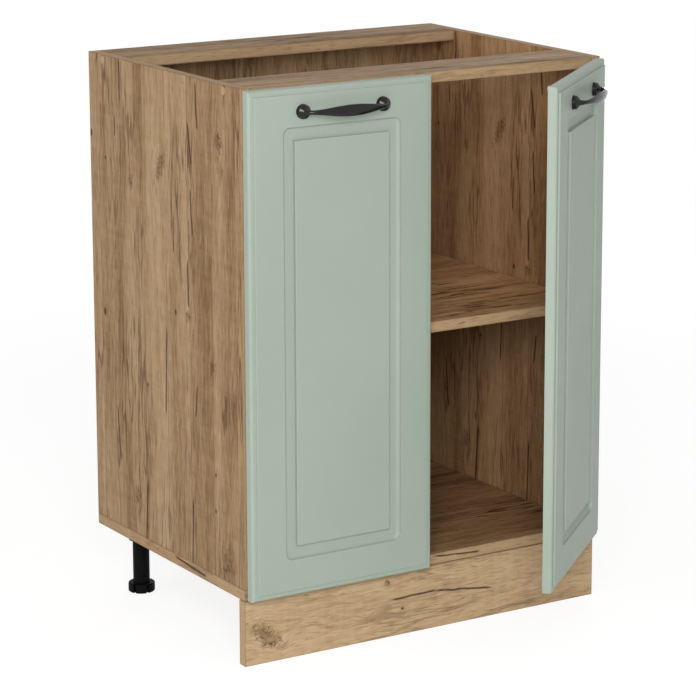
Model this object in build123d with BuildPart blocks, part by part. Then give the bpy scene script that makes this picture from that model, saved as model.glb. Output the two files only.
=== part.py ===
"""Kitchen base cabinet with two framed doors, adjustable legs and a clip-on plinth.

Millimetres. +Z is up, the front faces -Y, and the origin lies on the floor, at mid width,
in the plane of the carcass front. The left door is shut and the right door stands ajar.
"""
import os
from math import cos, pi, radians, sin

from build123d import *

# Carcass boards
CABINET_WIDTH = 600.0
CARCASS_HEIGHT = 720.0
CARCASS_DEPTH = 446.0
LEG_HEIGHT = 96.0
BOARD = 16.0
EDGE_ROUND = 0.6
RAIL_WIDTH = 90.0
BACK_THICKNESS = 3.0
BACK_INSET = 2.0

# Shelf and its pins
SHELF_RISE = 328.0
SHELF_SETBACK = 4.0
SHELF_REAR_GAP = 6.0
SHELF_SIDE_GAP = 1.0
SHELF_PIN_INSET = 45.0
SHELF_PIN_RADIUS = 2.5
SHELF_PIN_SEAT = 9.0
SHELF_PAD_LENGTH = 9.0
SHELF_PAD_WIDTH = 10.0
SHELF_PAD_HEIGHT = 5.0

# Carcass fasteners
FASTENER_CLEARANCE = 0.08
CONFIRMAT_HEAD_RADIUS = 5.0
CONFIRMAT_HEAD_HEIGHT = 3.5
CONFIRMAT_SHANK_RADIUS = 3.5
CONFIRMAT_THREAD_RADIUS = 2.5
CONFIRMAT_LENGTH = 50.0
CONFIRMAT_INSET = 100.0
CAP_RADIUS = 6.0
CAP_THICKNESS = 1.0
DOWEL_RADIUS = 4.0
DOWEL_IN_EDGE = 20.0
DOWEL_IN_FACE = 10.0
DOWEL_OFFSET = 28.0
NAIL_HEAD_RADIUS = 2.2
NAIL_HEAD_HEIGHT = 0.8
NAIL_RADIUS = 0.7
NAIL_LENGTH = 22.0
NAIL_END_INSET = 40.0
NAILS_PER_SIDE = 6
NAILS_PER_RAIL = 4

# Legs
LEG_INSET = 38.0
FRONT_LEG_SETBACK = 42.0
REAR_LEG_SETBACK = 64.0
LEG_FLANGE_RADIUS = 25.6
LEG_FLANGE_THICKNESS = 4.0
LEG_COLLAR_RADIUS = 18.0
LEG_COLLAR_HEIGHT = 11.0
LEG_SPIGOT_LENGTH = 16.0
LEG_TUBE_RADIUS = 12.5
LEG_TUBE_WALL = 2.5
LEG_SCREW_CIRCLE = 21.9
LEG_SCREW_DEPTH = 12.0
FOOT_RADIUS = 20.0
FOOT_HEIGHT = 14.0
FOOT_LOBES = 6
FOOT_NOTCH_WIDTH = 4.2
FOOT_NOTCH_DEPTH = 4.4
FOOT_TOP_ROUND = 2.2
FOOT_BASE_CHAMFER = 1.2
FOOT_SOCKET_DEPTH = 2.0
FOOT_SOCKET_CLEARANCE = 0.4
FOOT_STEM_RADIUS = 5.0
FOOT_STEM_LENGTH = 50.0
FOOT_STEM_CLEARANCE = 0.1
LEG_WEB = 2.0

# Plinth and its clips
PLINTH_HEIGHT = 95.0
CLIP_HEIGHT = 20.0
CLIP_RISE = 45.0
CLIP_BASE_THICKNESS = 3.0
CLIP_BASE_WIDTH = 52.0
CLIP_JAW = 2.5
CLIP_JAW_CLEARANCE = 0.3
CLIP_JAW_OVERREACH = 6.0
CLIP_SCREW_OFFSET = 20.5
CLIP_SCREW_DEPTH = 12.0

# Doors
DOOR_THICKNESS = 16.0
DOOR_MARGIN = 2.0
DOOR_CENTRE_GAP = 4.0
DOOR_STANDOFF = 5.0
RIGHT_DOOR_OPENING = 41.0
BORDER_WIDTH = 8.5
BORDER_STEP = 2.4
BORDER_ROUND = 4.0
FRAME_ROUND = 0.8
FRAME_WIDTH = 53.0
GROOVE_DEPTH = 6.0
GROOVE_WIDTH = 19.0
GROOVE_CORNER = 10.5
GROOVE_COVE = 5.6
FIELD_CHAMFER = 0.8
BUMPER_RADIUS = 4.5
BUMPER_GAP = 0.3
BUMPER_INSET = 22.0

# Bow handles
HANDLE_SPACING = 128.0
HANDLE_DROP = 32.5
ROSETTE_RADIUS = 10.2
ROSETTE_BASE = 2.0
ROSETTE_WAIST_RADIUS = 8.6
ROSETTE_WAIST = 0.9
ROSETTE_DISC_RADIUS = 9.6
ROSETTE_DISC = 6.4
ROSETTE_BEVEL = 0.6
NECK_START = 10.0
NECK_RADIUS = 4.2
STEM_RADIUS = 2.8
HANDLE_REACH = 29.5
GRIP_WIDTH = 16.0
GRIP_THICKNESS = 5.0
GRIP_SECTION_COUNT = 13
HANDLE_SCREW_RADIUS = 2.0
HANDLE_SCREW_BITE = 6.5

# Concealed hinges
HINGE_INSET = 100.0
PIVOT_FROM_EDGE = 7.0
PIVOT_FROM_BACK = 8.5
CUP_FROM_EDGE = 3.0
CUP_RADIUS = 17.5
CUP_DEPTH = 12.0
CUP_WALL = 1.0
CUP_CLEARANCE = 0.05
CUP_FLANGE_RADIUS = 19.0
CUP_FLANGE_THICKNESS = 1.0
CUP_EAR_WIDTH = 13.0
CUP_SCREW_SPAN = 48.0
CUP_SCREW_OFFSET = 5.5
CUP_SCREW_DEPTH = 10.0
LUG_GAP = 4.6
LUG_END = 8.6
LUG_HALF = 2.5
PIN_RADIUS = 1.25
PIN_HALF = 8.0
PIN_SEAT_CLEARANCE = 0.02
PIN_RUNNING_CLEARANCE = 0.05
KNUCKLE_RADIUS = 2.2
KNUCKLE_HALF = 4.0
ARM_THICKNESS = 2.5
ARM_HALF = 8.0
ARM_LENGTH = 58.0
ARM_FLANGE = 1.6
ARM_FLANGE_DEPTH = 2.0
ARM_FLANGE_START = 12.0
ARM_SCREW_SETBACKS = (25.0, 50.0)
PLATE_HEIGHT = 4.5
PLATE_BASE = 2.0
PLATE_RIB_HALF = 6.0
PLATE_RIB_START = 14.0
PLATE_RIB_END = 61.0
PLATE_WING_WIDTH = 14.0
PLATE_SCREW_SETBACK = 37.0
PLATE_SCREW_SPAN = 32.0
PLATE_SCREW_DEPTH = 11.0

# Small pan-head screws
SCREW_HEAD_RADIUS = 3.5
SCREW_HEAD_HEIGHT = 1.7
SCREW_RADIUS = 1.75
RECESS_LENGTH = 3.6
RECESS_WIDTH = 0.9
RECESS_DEPTH = 1.0

# Levels and places that follow from the sizes above
HALF_WIDTH = CABINET_WIDTH / 2
INNER_HALF = HALF_WIDTH - BOARD
BOTTOM_Z = LEG_HEIGHT
SIDE_Z = BOTTOM_Z + BOARD
TOP_Z = BOTTOM_Z + CARCASS_HEIGHT
RAIL_Z = TOP_Z - BOARD
SHELF_Z = SIDE_Z + SHELF_RISE
EDGE_X = HALF_WIDTH - BOARD / 2
RAIL_MID_Z = TOP_Z - BOARD / 2
BOTTOM_MID_Z = BOTTOM_Z + BOARD / 2
LEFT = -1
RIGHT = 1
SIDES = {"left": LEFT, "right": RIGHT}
OPENINGS = {LEFT: 0.0, RIGHT: RIGHT_DOOR_OPENING}

RAIL_FRONTS = {"front": 0.0, "rear": CARCASS_DEPTH - RAIL_WIDTH}
RAIL_SCREW_Y = [front + RAIL_WIDTH / 2 for front in RAIL_FRONTS.values()]
RAIL_DOWEL_Y = [y + DOWEL_OFFSET for y in RAIL_SCREW_Y]
BOTTOM_SCREW_Y = [CONFIRMAT_INSET, CARCASS_DEPTH - CONFIRMAT_INSET]
BOTTOM_DOWEL_Y = [y + DOWEL_OFFSET for y in BOTTOM_SCREW_Y]
SHELF_PIN_Y = [SHELF_SETBACK + SHELF_PIN_INSET, CARCASS_DEPTH - SHELF_REAR_GAP - SHELF_PIN_INSET]
SHELF_PIN_Z = SHELF_Z - SHELF_PAD_HEIGHT / 2
CONFIRMAT_THREAD = CONFIRMAT_LENGTH - (BOARD - CAP_THICKNESS - CONFIRMAT_HEAD_HEIGHT)

DOOR_WIDTH = (CABINET_WIDTH - 2 * DOOR_MARGIN - DOOR_CENTRE_GAP) / 2
DOOR_HEIGHT = CARCASS_HEIGHT - 2 * DOOR_MARGIN
DOOR_Z = BOTTOM_Z + DOOR_MARGIN
DOOR_MID_Z = DOOR_Z + DOOR_HEIGHT / 2
HINGE_HEIGHTS = {"lower": DOOR_Z + HINGE_INSET, "upper": DOOR_Z + DOOR_HEIGHT - HINGE_INSET}
HANDLE_RISE = DOOR_HEIGHT / 2 - HANDLE_DROP
PIVOT_X = HALF_WIDTH - DOOR_MARGIN - PIVOT_FROM_EDGE
PIVOT_Y = -(DOOR_STANDOFF + PIVOT_FROM_BACK)
CUP_X = DOOR_WIDTH / 2 - CUP_FROM_EDGE - CUP_RADIUS
CUP_SCREW_X = CUP_X - CUP_SCREW_OFFSET
PIVOT_IN_DOOR = DOOR_WIDTH / 2 - PIVOT_FROM_EDGE
ARM_LAP = PIVOT_X - (INNER_HALF - PLATE_HEIGHT)

LEG_X = HALF_WIDTH - LEG_INSET
LEG_PLACES = {
    "front_left": (-LEG_X, FRONT_LEG_SETBACK),
    "front_right": (LEG_X, FRONT_LEG_SETBACK),
    "rear_left": (-LEG_X, CARCASS_DEPTH - REAR_LEG_SETBACK),
    "rear_right": (LEG_X, CARCASS_DEPTH - REAR_LEG_SETBACK),
}
LEG_FLANGE_Z = BOTTOM_Z - LEG_FLANGE_THICKNESS
LEG_TUBE_BORE = LEG_TUBE_RADIUS - LEG_TUBE_WALL
LEG_TUBE_Z = FOOT_HEIGHT - FOOT_SOCKET_DEPTH + FOOT_SOCKET_CLEARANCE
STEM_TOP = FOOT_HEIGHT - FOOT_SOCKET_DEPTH + FOOT_STEM_LENGTH
LEG_SCREW_REACH = LEG_SCREW_CIRCLE * cos(pi / 4)

os.makedirs("parts", exist_ok=True)


def save(piece, name):
    """Label a finished piece and write it as its own STEP file."""
    piece.part.label = name
    export_step(piece.part, f"parts/{name}.step")


def spread(first, last, count):
    """Evenly spaced values from first to last."""
    return [first + (last - first) * i / (count - 1) for i in range(count)]


def across_x(x):
    """Plane square to X: its own axes are y and z, and it faces +X."""
    return Plane.YZ.offset(x)


def across_y(y):
    """Plane square to Y: its own axes are x and z, and it faces -Y, towards the front."""
    return Plane.XZ.offset(-y)


def rods(plane, points, radius, length, mode=Mode.ADD):
    """Add round rods to the piece being built, or cut round holes, along the plane's normal."""
    with BuildSketch(plane) as rounds:
        with Locations(*points):
            Circle(radius)
    extrude(rounds.sketch, amount=length, mode=mode)


def holes(plane, points, radius, length):
    """Cut round holes with room for the fastener of the given radius."""
    rods(plane, points, radius + FASTENER_CLEARANCE, length, Mode.SUBTRACT)


def pan_screws(plane, points, depth, radius=SCREW_RADIUS, facing=1):
    """Add pan-head screws: heads stand on the plane's faced side and shanks go in behind it."""
    rods(plane, points, radius, -facing * depth)
    rods(plane, points, SCREW_HEAD_RADIUS, facing * SCREW_HEAD_HEIGHT)
    with BuildSketch(plane.offset(facing * SCREW_HEAD_HEIGHT)) as recesses:
        with Locations(*points):
            Rectangle(RECESS_LENGTH, RECESS_WIDTH)
            Rectangle(RECESS_WIDTH, RECESS_LENGTH)
    extrude(recesses.sketch, amount=-facing * RECESS_DEPTH, mode=Mode.SUBTRACT)


def board(low, high):
    """Start a board between two corners, with slightly eased edges."""
    with BuildPart(Plane(low)) as panel:
        size = [b - a for a, b in zip(low, high)]
        Box(*size, align=(Align.MIN, Align.MIN, Align.MIN))
        fillet(panel.edges(), EDGE_ROUND)
    return panel


def confirmat_bores(plane, points, inward):
    """Cut the cap recess, head seat and shank hole of confirmat screws through a board."""
    rods(plane, points, CAP_RADIUS + FASTENER_CLEARANCE, inward * CAP_THICKNESS, Mode.SUBTRACT)
    holes(plane, points, CONFIRMAT_HEAD_RADIUS, inward * (CAP_THICKNESS + CONFIRMAT_HEAD_HEIGHT))
    holes(plane, points, CONFIRMAT_SHANK_RADIUS, inward * BOARD)


def confirmats(plane, points, inward):
    """Add confirmat screws whose heads lie one cap thickness under the plane."""
    seat = plane.offset(inward * CAP_THICKNESS)
    rods(seat, points, CONFIRMAT_HEAD_RADIUS, inward * CONFIRMAT_HEAD_HEIGHT)
    rods(seat, points, CONFIRMAT_SHANK_RADIUS, inward * (BOARD - CAP_THICKNESS))
    rods(seat, points, CONFIRMAT_THREAD_RADIUS, inward * (CONFIRMAT_HEAD_HEIGHT + CONFIRMAT_LENGTH))


def side_points(y_values, z):
    """Points on a plane square to X, all at one height."""
    return [(y, z) for y in y_values]


def plate_screw_points(height):
    """Places of a hinge plate's screws on a side panel's inner face."""
    return [(PLATE_SCREW_SETBACK, height + i * PLATE_SCREW_SPAN / 2) for i in (-1, 1)]


def flange_screw_points(x, y):
    """Places of a leg socket's screws round the leg."""
    return [(x + i * LEG_SCREW_REACH, y + j * LEG_SCREW_REACH) for i in (-1, 1) for j in (-1, 1)]


# Places of the nails along the rear edges of the carcass
side_nail_z = spread(SIDE_Z + NAIL_END_INSET, RAIL_Z - NAIL_END_INSET, NAILS_PER_SIDE)
rail_nail_x = spread(-INNER_HALF + NAIL_END_INSET, INNER_HALF - NAIL_END_INSET, NAILS_PER_RAIL)
side_nails = {side: [(side * EDGE_X, z) for z in side_nail_z] for side in (LEFT, RIGHT)}
bottom_nails = [(x, BOTTOM_MID_Z) for x in rail_nail_x]
rail_nails = [(x, RAIL_MID_Z) for x in rail_nail_x]
all_nails = side_nails[LEFT] + side_nails[RIGHT] + bottom_nails + rail_nails
NAIL_BITE = NAIL_LENGTH - BACK_THICKNESS
carcass_rear = across_y(CARCASS_DEPTH)

# Side panels stand on the bottom panel and hold the rails between them
for side_name, side in SIDES.items():
    inner = side * INNER_HALF
    outer = side * HALF_WIDTH
    panel = board(
        (min(inner, outer), 0, SIDE_Z),
        (max(inner, outer), CARCASS_DEPTH, TOP_Z),
    )
    with panel:
        confirmat_bores(across_x(outer), side_points(RAIL_SCREW_Y, RAIL_MID_Z), -side)
        holes(across_x(inner), side_points(RAIL_DOWEL_Y, RAIL_MID_Z), DOWEL_RADIUS, side * DOWEL_IN_FACE)
        under = Plane.XY.offset(SIDE_Z)
        screw_points = [(side * EDGE_X, y) for y in BOTTOM_SCREW_Y]
        dowel_points = [(side * EDGE_X, y) for y in BOTTOM_DOWEL_Y]
        holes(under, screw_points, CONFIRMAT_THREAD_RADIUS, CONFIRMAT_THREAD)
        holes(under, dowel_points, DOWEL_RADIUS, DOWEL_IN_EDGE)
        holes(across_x(inner), side_points(SHELF_PIN_Y, SHELF_PIN_Z), SHELF_PIN_RADIUS, side * SHELF_PIN_SEAT)
        for height in HINGE_HEIGHTS.values():
            holes(across_x(inner), plate_screw_points(height), SCREW_RADIUS, side * PLATE_SCREW_DEPTH)
        holes(carcass_rear, side_nails[side], NAIL_RADIUS, NAIL_BITE)
    save(panel, f"{side_name}_side")

# Bottom panel runs the full width under the sides
bottom_panel = board((-HALF_WIDTH, 0, BOTTOM_Z), (HALF_WIDTH, CARCASS_DEPTH, SIDE_Z))
bottom_screw_points = [(side * EDGE_X, y) for side in (LEFT, RIGHT) for y in BOTTOM_SCREW_Y]
bottom_dowel_points = [(side * EDGE_X, y) for side in (LEFT, RIGHT) for y in BOTTOM_DOWEL_Y]
leg_screw_points = [point for x, y in LEG_PLACES.values() for point in flange_screw_points(x, y)]
with bottom_panel:
    confirmat_bores(Plane.XY.offset(BOTTOM_Z), bottom_screw_points, 1)
    holes(Plane.XY.offset(SIDE_Z), bottom_dowel_points, DOWEL_RADIUS, -DOWEL_IN_FACE)
    holes(Plane.XY.offset(BOTTOM_Z), leg_screw_points, SCREW_RADIUS, LEG_SCREW_DEPTH)
    holes(carcass_rear, bottom_nails, NAIL_RADIUS, NAIL_BITE)
save(bottom_panel, "bottom_panel")

# Top rails lie flat between the sides
for (rail_name, front), screw_y, dowel_y in zip(RAIL_FRONTS.items(), RAIL_SCREW_Y, RAIL_DOWEL_Y):
    rail = board((-INNER_HALF, front, RAIL_Z), (INNER_HALF, front + RAIL_WIDTH, TOP_Z))
    with rail:
        for side in (LEFT, RIGHT):
            rail_end = across_x(side * INNER_HALF)
            holes(rail_end, [(screw_y, RAIL_MID_Z)], CONFIRMAT_THREAD_RADIUS, -side * CONFIRMAT_THREAD)
            holes(rail_end, [(dowel_y, RAIL_MID_Z)], DOWEL_RADIUS, -side * DOWEL_IN_EDGE)
        if rail_name == "rear":
            holes(carcass_rear, rail_nails, NAIL_RADIUS, NAIL_BITE)
    save(rail, f"{rail_name}_rail")

# Thin back panel, nailed over the rear edges
back_half = HALF_WIDTH - BACK_INSET
back_height = CARCASS_HEIGHT - 2 * BACK_INSET
back_rear = across_y(CARCASS_DEPTH + BACK_THICKNESS)
with BuildPart() as back_panel:
    with BuildSketch(back_rear):
        with Locations((0, BOTTOM_Z + CARCASS_HEIGHT / 2)):
            Rectangle(2 * back_half, back_height)
    extrude(amount=BACK_THICKNESS)
    holes(back_rear, all_nails, NAIL_HEAD_RADIUS, NAIL_HEAD_HEIGHT)
    holes(back_rear, all_nails, NAIL_RADIUS, BACK_THICKNESS)
save(back_panel, "back_panel")

with BuildPart() as back_panel_nails:
    rods(back_rear, all_nails, NAIL_HEAD_RADIUS, NAIL_HEAD_HEIGHT)
    rods(back_rear, all_nails, NAIL_RADIUS, NAIL_LENGTH)
save(back_panel_nails, "back_panel_nails")

# Loose shelf on four pins
shelf_half = INNER_HALF - SHELF_SIDE_GAP
shelf = board(
    (-shelf_half, SHELF_SETBACK, SHELF_Z),
    (shelf_half, CARCASS_DEPTH - SHELF_REAR_GAP, SHELF_Z + BOARD),
)
save(shelf, "shelf")

with BuildPart() as shelf_pins:
    for side in (LEFT, RIGHT):
        wall = across_x(side * INNER_HALF)
        pin_points = side_points(SHELF_PIN_Y, SHELF_PIN_Z)
        rods(wall, pin_points, SHELF_PIN_RADIUS, side * SHELF_PIN_SEAT)
        with BuildSketch(wall):
            with Locations(*pin_points):
                Rectangle(SHELF_PAD_WIDTH, SHELF_PAD_HEIGHT)
        extrude(amount=-side * SHELF_PAD_LENGTH)
save(shelf_pins, "shelf_pins")

# Carcass screws, dowels and the caps over the screws that show on the sides
with BuildPart() as confirmat_screws:
    for side in (LEFT, RIGHT):
        confirmats(across_x(side * HALF_WIDTH), side_points(RAIL_SCREW_Y, RAIL_MID_Z), -side)
    confirmats(Plane.XY.offset(BOTTOM_Z), bottom_screw_points, 1)
save(confirmat_screws, "confirmat_screws")

with BuildPart() as screw_caps:
    for side in (LEFT, RIGHT):
        cap_points = side_points(RAIL_SCREW_Y, RAIL_MID_Z)
        rods(across_x(side * HALF_WIDTH), cap_points, CAP_RADIUS, -side * CAP_THICKNESS)
    rods(Plane.XY.offset(BOTTOM_Z), bottom_screw_points, CAP_RADIUS, CAP_THICKNESS)
save(screw_caps, "screw_caps")

with BuildPart() as dowels:
    dowel_length = DOWEL_IN_FACE + DOWEL_IN_EDGE
    for side in (LEFT, RIGHT):
        start = across_x(side * (INNER_HALF + DOWEL_IN_FACE))
        rods(start, side_points(RAIL_DOWEL_Y, RAIL_MID_Z), DOWEL_RADIUS, -side * dowel_length)
    rods(Plane.XY.offset(SIDE_Z - DOWEL_IN_FACE), bottom_dowel_points, DOWEL_RADIUS, dowel_length)
save(dowels, "dowels")

# Legs: a flanged socket under the bottom panel, a tube in its collar and a screwed foot
for place, (leg_x, leg_y) in LEG_PLACES.items():
    centre = [(leg_x, leg_y)]
    with BuildPart() as socket:
        rods(Plane.XY.offset(LEG_FLANGE_Z), centre, LEG_FLANGE_RADIUS, LEG_FLANGE_THICKNESS)
        rods(Plane.XY.offset(LEG_FLANGE_Z), centre, LEG_COLLAR_RADIUS, -LEG_COLLAR_HEIGHT)
        holes(Plane.XY.offset(LEG_FLANGE_Z), centre, LEG_TUBE_RADIUS, -LEG_COLLAR_HEIGHT)
        rods(Plane.XY.offset(LEG_FLANGE_Z), centre, LEG_TUBE_BORE, -LEG_SPIGOT_LENGTH)
        flange_points = flange_screw_points(leg_x, leg_y)
        holes(Plane.XY.offset(LEG_FLANGE_Z), flange_points, SCREW_RADIUS, LEG_FLANGE_THICKNESS)
    save(socket, f"leg_socket_{place}")

    with BuildPart() as tube:
        rods(Plane.XY.offset(LEG_TUBE_Z), centre, LEG_TUBE_RADIUS, LEG_FLANGE_Z - LEG_TUBE_Z)
        holes(Plane.XY.offset(LEG_FLANGE_Z), centre, LEG_TUBE_BORE, -(LEG_SPIGOT_LENGTH + LEG_WEB))
        stem_bore = FOOT_STEM_RADIUS + FOOT_STEM_CLEARANCE
        rods(Plane.XY.offset(LEG_TUBE_Z), centre, stem_bore, STEM_TOP + LEG_WEB - LEG_TUBE_Z, Mode.SUBTRACT)
    save(tube, f"leg_tube_{place}")

    with BuildPart() as foot:
        rods(Plane.XY, centre, FOOT_RADIUS, FOOT_HEIGHT)
        fillet(foot.faces().sort_by(Axis.Z)[-1].edges(), FOOT_TOP_ROUND)
        chamfer(foot.faces().sort_by(Axis.Z)[0].edges(), FOOT_BASE_CHAMFER)
        with BuildSketch():
            with Locations(*centre):
                with PolarLocations(FOOT_RADIUS, FOOT_LOBES, 180 / FOOT_LOBES):
                    Rectangle(2 * FOOT_NOTCH_DEPTH, FOOT_NOTCH_WIDTH)
        extrude(amount=FOOT_HEIGHT, mode=Mode.SUBTRACT)
        socket_floor = Plane.XY.offset(FOOT_HEIGHT - FOOT_SOCKET_DEPTH)
        recess_radius = LEG_TUBE_RADIUS + FOOT_SOCKET_CLEARANCE
        rods(socket_floor, centre, recess_radius, FOOT_SOCKET_DEPTH, Mode.SUBTRACT)
        rods(socket_floor, centre, FOOT_STEM_RADIUS, FOOT_STEM_LENGTH)
    save(foot, f"leg_foot_{place}")

with BuildPart() as leg_screws:
    bite = LEG_SCREW_DEPTH + LEG_FLANGE_THICKNESS
    pan_screws(Plane.XY.offset(LEG_FLANGE_Z), leg_screw_points, bite, facing=-1)
save(leg_screws, "leg_screws")

# Plinth board, with clips whose jaws slide over the front leg tubes
plinth = board((-HALF_WIDTH, 0, 0), (HALF_WIDTH, BOARD, PLINTH_HEIGHT))
plinth_rear = across_y(BOARD)
clip_mid_z = CLIP_RISE + CLIP_HEIGHT / 2
clip_screw_points = {
    side: [(side * LEG_X + i * CLIP_SCREW_OFFSET, clip_mid_z) for i in (-1, 1)]
    for side in (LEFT, RIGHT)
}
with plinth:
    for points in clip_screw_points.values():
        holes(plinth_rear, points, SCREW_RADIUS, CLIP_SCREW_DEPTH)
save(plinth, "plinth")

clip_face = across_y(BOARD + CLIP_BASE_THICKNESS)
jaw_inner = LEG_TUBE_RADIUS + CLIP_JAW_CLEARANCE
jaw_length = FRONT_LEG_SETBACK + CLIP_JAW_OVERREACH - BOARD - CLIP_BASE_THICKNESS
for side_name, side in SIDES.items():
    with BuildPart() as clip:
        with BuildSketch(clip_face):
            with Locations((side * LEG_X, clip_mid_z)):
                Rectangle(CLIP_BASE_WIDTH, CLIP_HEIGHT)
        extrude(amount=CLIP_BASE_THICKNESS)
        with BuildSketch(clip_face):
            for i in (-1, 1):
                with Locations((side * LEG_X + i * (jaw_inner + CLIP_JAW / 2), clip_mid_z)):
                    Rectangle(CLIP_JAW, CLIP_HEIGHT)
        extrude(amount=-jaw_length)
        holes(clip_face, clip_screw_points[side], SCREW_RADIUS, CLIP_BASE_THICKNESS)
    save(clip, f"plinth_clip_{side_name}")

with BuildPart() as plinth_clip_screws:
    for points in clip_screw_points.values():
        pan_screws(clip_face, points, CLIP_SCREW_DEPTH + CLIP_BASE_THICKNESS, facing=-1)
save(plinth_clip_screws, "plinth_clip_screws")


def door_directions(side, opening):
    """Unit vectors of a door opened by some degrees: along its width, and out of its front."""
    turn = radians(opening)
    along = Vector(cos(turn), side * sin(turn), 0)
    outward = Vector(side * sin(turn), -cos(turn), 0)
    return along, outward


def door_face(side):
    """Plane on a door's front face, at the middle of the door, as the door stands."""
    along, outward = door_directions(side, OPENINGS[side])
    pivot = Vector(side * PIVOT_X, PIVOT_Y, DOOR_MID_Z)
    centre = pivot - along * (side * PIVOT_IN_DOOR) + outward * (DOOR_THICKNESS - PIVOT_FROM_BACK)
    return Plane(centre, x_dir=along, z_dir=outward)


def pivot_plane(side, opening, height):
    """Level plane on a hinge pivot: x runs along the door and y towards the door's back."""
    along, _ = door_directions(side, opening)
    return Plane((side * PIVOT_X, PIVOT_Y, height), x_dir=along, z_dir=(0, 0, 1))


def cup_screw_points(side):
    """Places of the cup screws on a door's own plane."""
    return [
        (side * CUP_SCREW_X, height - DOOR_MID_Z + i * CUP_SCREW_SPAN / 2)
        for height in HINGE_HEIGHTS.values()
        for i in (-1, 1)
    ]


handle_points = [(i * HANDLE_SPACING / 2, HANDLE_RISE) for i in (-1, 1)]
groove_width = DOOR_WIDTH - 2 * FRAME_WIDTH
groove_height = DOOR_HEIGHT - 2 * FRAME_WIDTH
field_width = groove_width - 2 * GROOVE_WIDTH
field_height = groove_height - 2 * GROOVE_WIDTH

# Doors: a rounded slab, a raised frame, a coved groove and a centre field at the frame's level
for side_name, side in SIDES.items():
    face = door_face(side)
    back = face.offset(-DOOR_THICKNESS)
    out_axis = Axis(face.origin, face.z_dir)
    with BuildPart() as door:
        with BuildSketch(back):
            Rectangle(DOOR_WIDTH, DOOR_HEIGHT)
        extrude(amount=DOOR_THICKNESS - BORDER_STEP)
        fillet(door.faces().sort_by(out_axis)[-1].edges(), BORDER_ROUND)
        with BuildSketch(face.offset(-BORDER_STEP)):
            Rectangle(DOOR_WIDTH - 2 * BORDER_WIDTH, DOOR_HEIGHT - 2 * BORDER_WIDTH)
        extrude(amount=BORDER_STEP)
        fillet(door.faces().sort_by(out_axis)[-1].edges(), FRAME_ROUND)
        with BuildSketch(face):
            RectangleRounded(groove_width, groove_height, GROOVE_CORNER)
            Rectangle(field_width, field_height, mode=Mode.SUBTRACT)
        extrude(amount=-GROOVE_DEPTH, mode=Mode.SUBTRACT)
        groove_floor = door.faces(Select.LAST).sort_by(out_axis)[0]
        fillet(groove_floor.outer_wire().edges(), GROOVE_COVE)
        top_faces = door.faces().group_by(out_axis)[-1]
        field = top_faces.filter_by(lambda top: not top.inner_wires())
        chamfer(field.edges(), FIELD_CHAMFER)

        for height in HINGE_HEIGHTS.values():
            cup_centre = [(side * CUP_X, height - DOOR_MID_Z)]
            rods(back, cup_centre, CUP_RADIUS + CUP_CLEARANCE, CUP_DEPTH, Mode.SUBTRACT)
        holes(back, cup_screw_points(side), SCREW_RADIUS, CUP_SCREW_DEPTH)
        holes(back, handle_points, HANDLE_SCREW_RADIUS, DOOR_THICKNESS)
    save(door, f"{side_name}_door")

    # Bow handle: two ringed rosettes and a sharp-edged leaf of a grip between them
    with BuildPart() as handle:
        for place in handle_points:
            post = face.from_local_coords((*place, 0))
            with BuildSketch(Plane(post, x_dir=face.x_dir, z_dir=-face.y_dir)):
                Polygon(
                    (0, 0),
                    (ROSETTE_RADIUS, 0),
                    (ROSETTE_RADIUS, ROSETTE_BASE),
                    (ROSETTE_WAIST_RADIUS, ROSETTE_BASE),
                    (ROSETTE_WAIST_RADIUS, ROSETTE_BASE + ROSETTE_WAIST),
                    (ROSETTE_DISC_RADIUS, ROSETTE_BASE + ROSETTE_WAIST),
                    (ROSETTE_DISC_RADIUS, ROSETTE_DISC - ROSETTE_BEVEL),
                    (ROSETTE_DISC_RADIUS - ROSETTE_BEVEL, ROSETTE_DISC),
                    (NECK_RADIUS, NECK_START),
                    (0, NECK_START),
                    align=None,
                )
            revolve(axis=Axis(post, face.z_dir))
        rise = HANDLE_REACH - GRIP_THICKNESS / 2 - NECK_START
        for turn in spread(0, pi, GRIP_SECTION_COUNT):
            middle = sin(turn)
            at = face.from_local_coords(
                (-HANDLE_SPACING / 2 * cos(turn), HANDLE_RISE, NECK_START + rise * middle)
            )
            heading = face.x_dir * (HANDLE_SPACING / 2 * sin(turn)) + face.z_dir * (rise * cos(turn))
            stem = STEM_RADIUS + (NECK_RADIUS - STEM_RADIUS) * (1 - middle) ** 4
            wide = stem + (GRIP_WIDTH / 2 - stem) * middle**4
            thick = stem + (GRIP_THICKNESS / 2 - stem) * middle
            with BuildSketch(Plane(at, x_dir=face.y_dir, z_dir=heading)):
                with BuildLine():
                    ThreePointArc((-wide, 0), (0, thick), (wide, 0))
                    ThreePointArc((wide, 0), (0, -thick), (-wide, 0))
                make_face()
        loft()
        holes(face, handle_points, HANDLE_SCREW_RADIUS, HANDLE_SCREW_BITE)
    save(handle, f"{side_name}_handle")

    with BuildPart() as handle_screws:
        bite = DOOR_THICKNESS + HANDLE_SCREW_BITE
        pan_screws(back, handle_points, bite, HANDLE_SCREW_RADIUS, facing=-1)
    save(handle_screws, f"{side_name}_handle_screws")

    with BuildPart() as bumpers:
        bumper_x = -side * (DOOR_WIDTH / 2 - BUMPER_INSET)
        bumper_points = [(bumper_x, z - DOOR_MID_Z) for z in (BOTTOM_MID_Z, RAIL_MID_Z)]
        rods(back, bumper_points, BUMPER_RADIUS, -(DOOR_STANDOFF - BUMPER_GAP))
    save(bumpers, f"{side_name}_door_bumpers")

    with BuildPart() as cup_screws:
        flange_face = back.offset(-CUP_FLANGE_THICKNESS)
        bite = CUP_SCREW_DEPTH + CUP_FLANGE_THICKNESS
        pan_screws(flange_face, cup_screw_points(side), bite, facing=-1)
    save(cup_screws, f"{side_name}_cup_screws")

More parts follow.
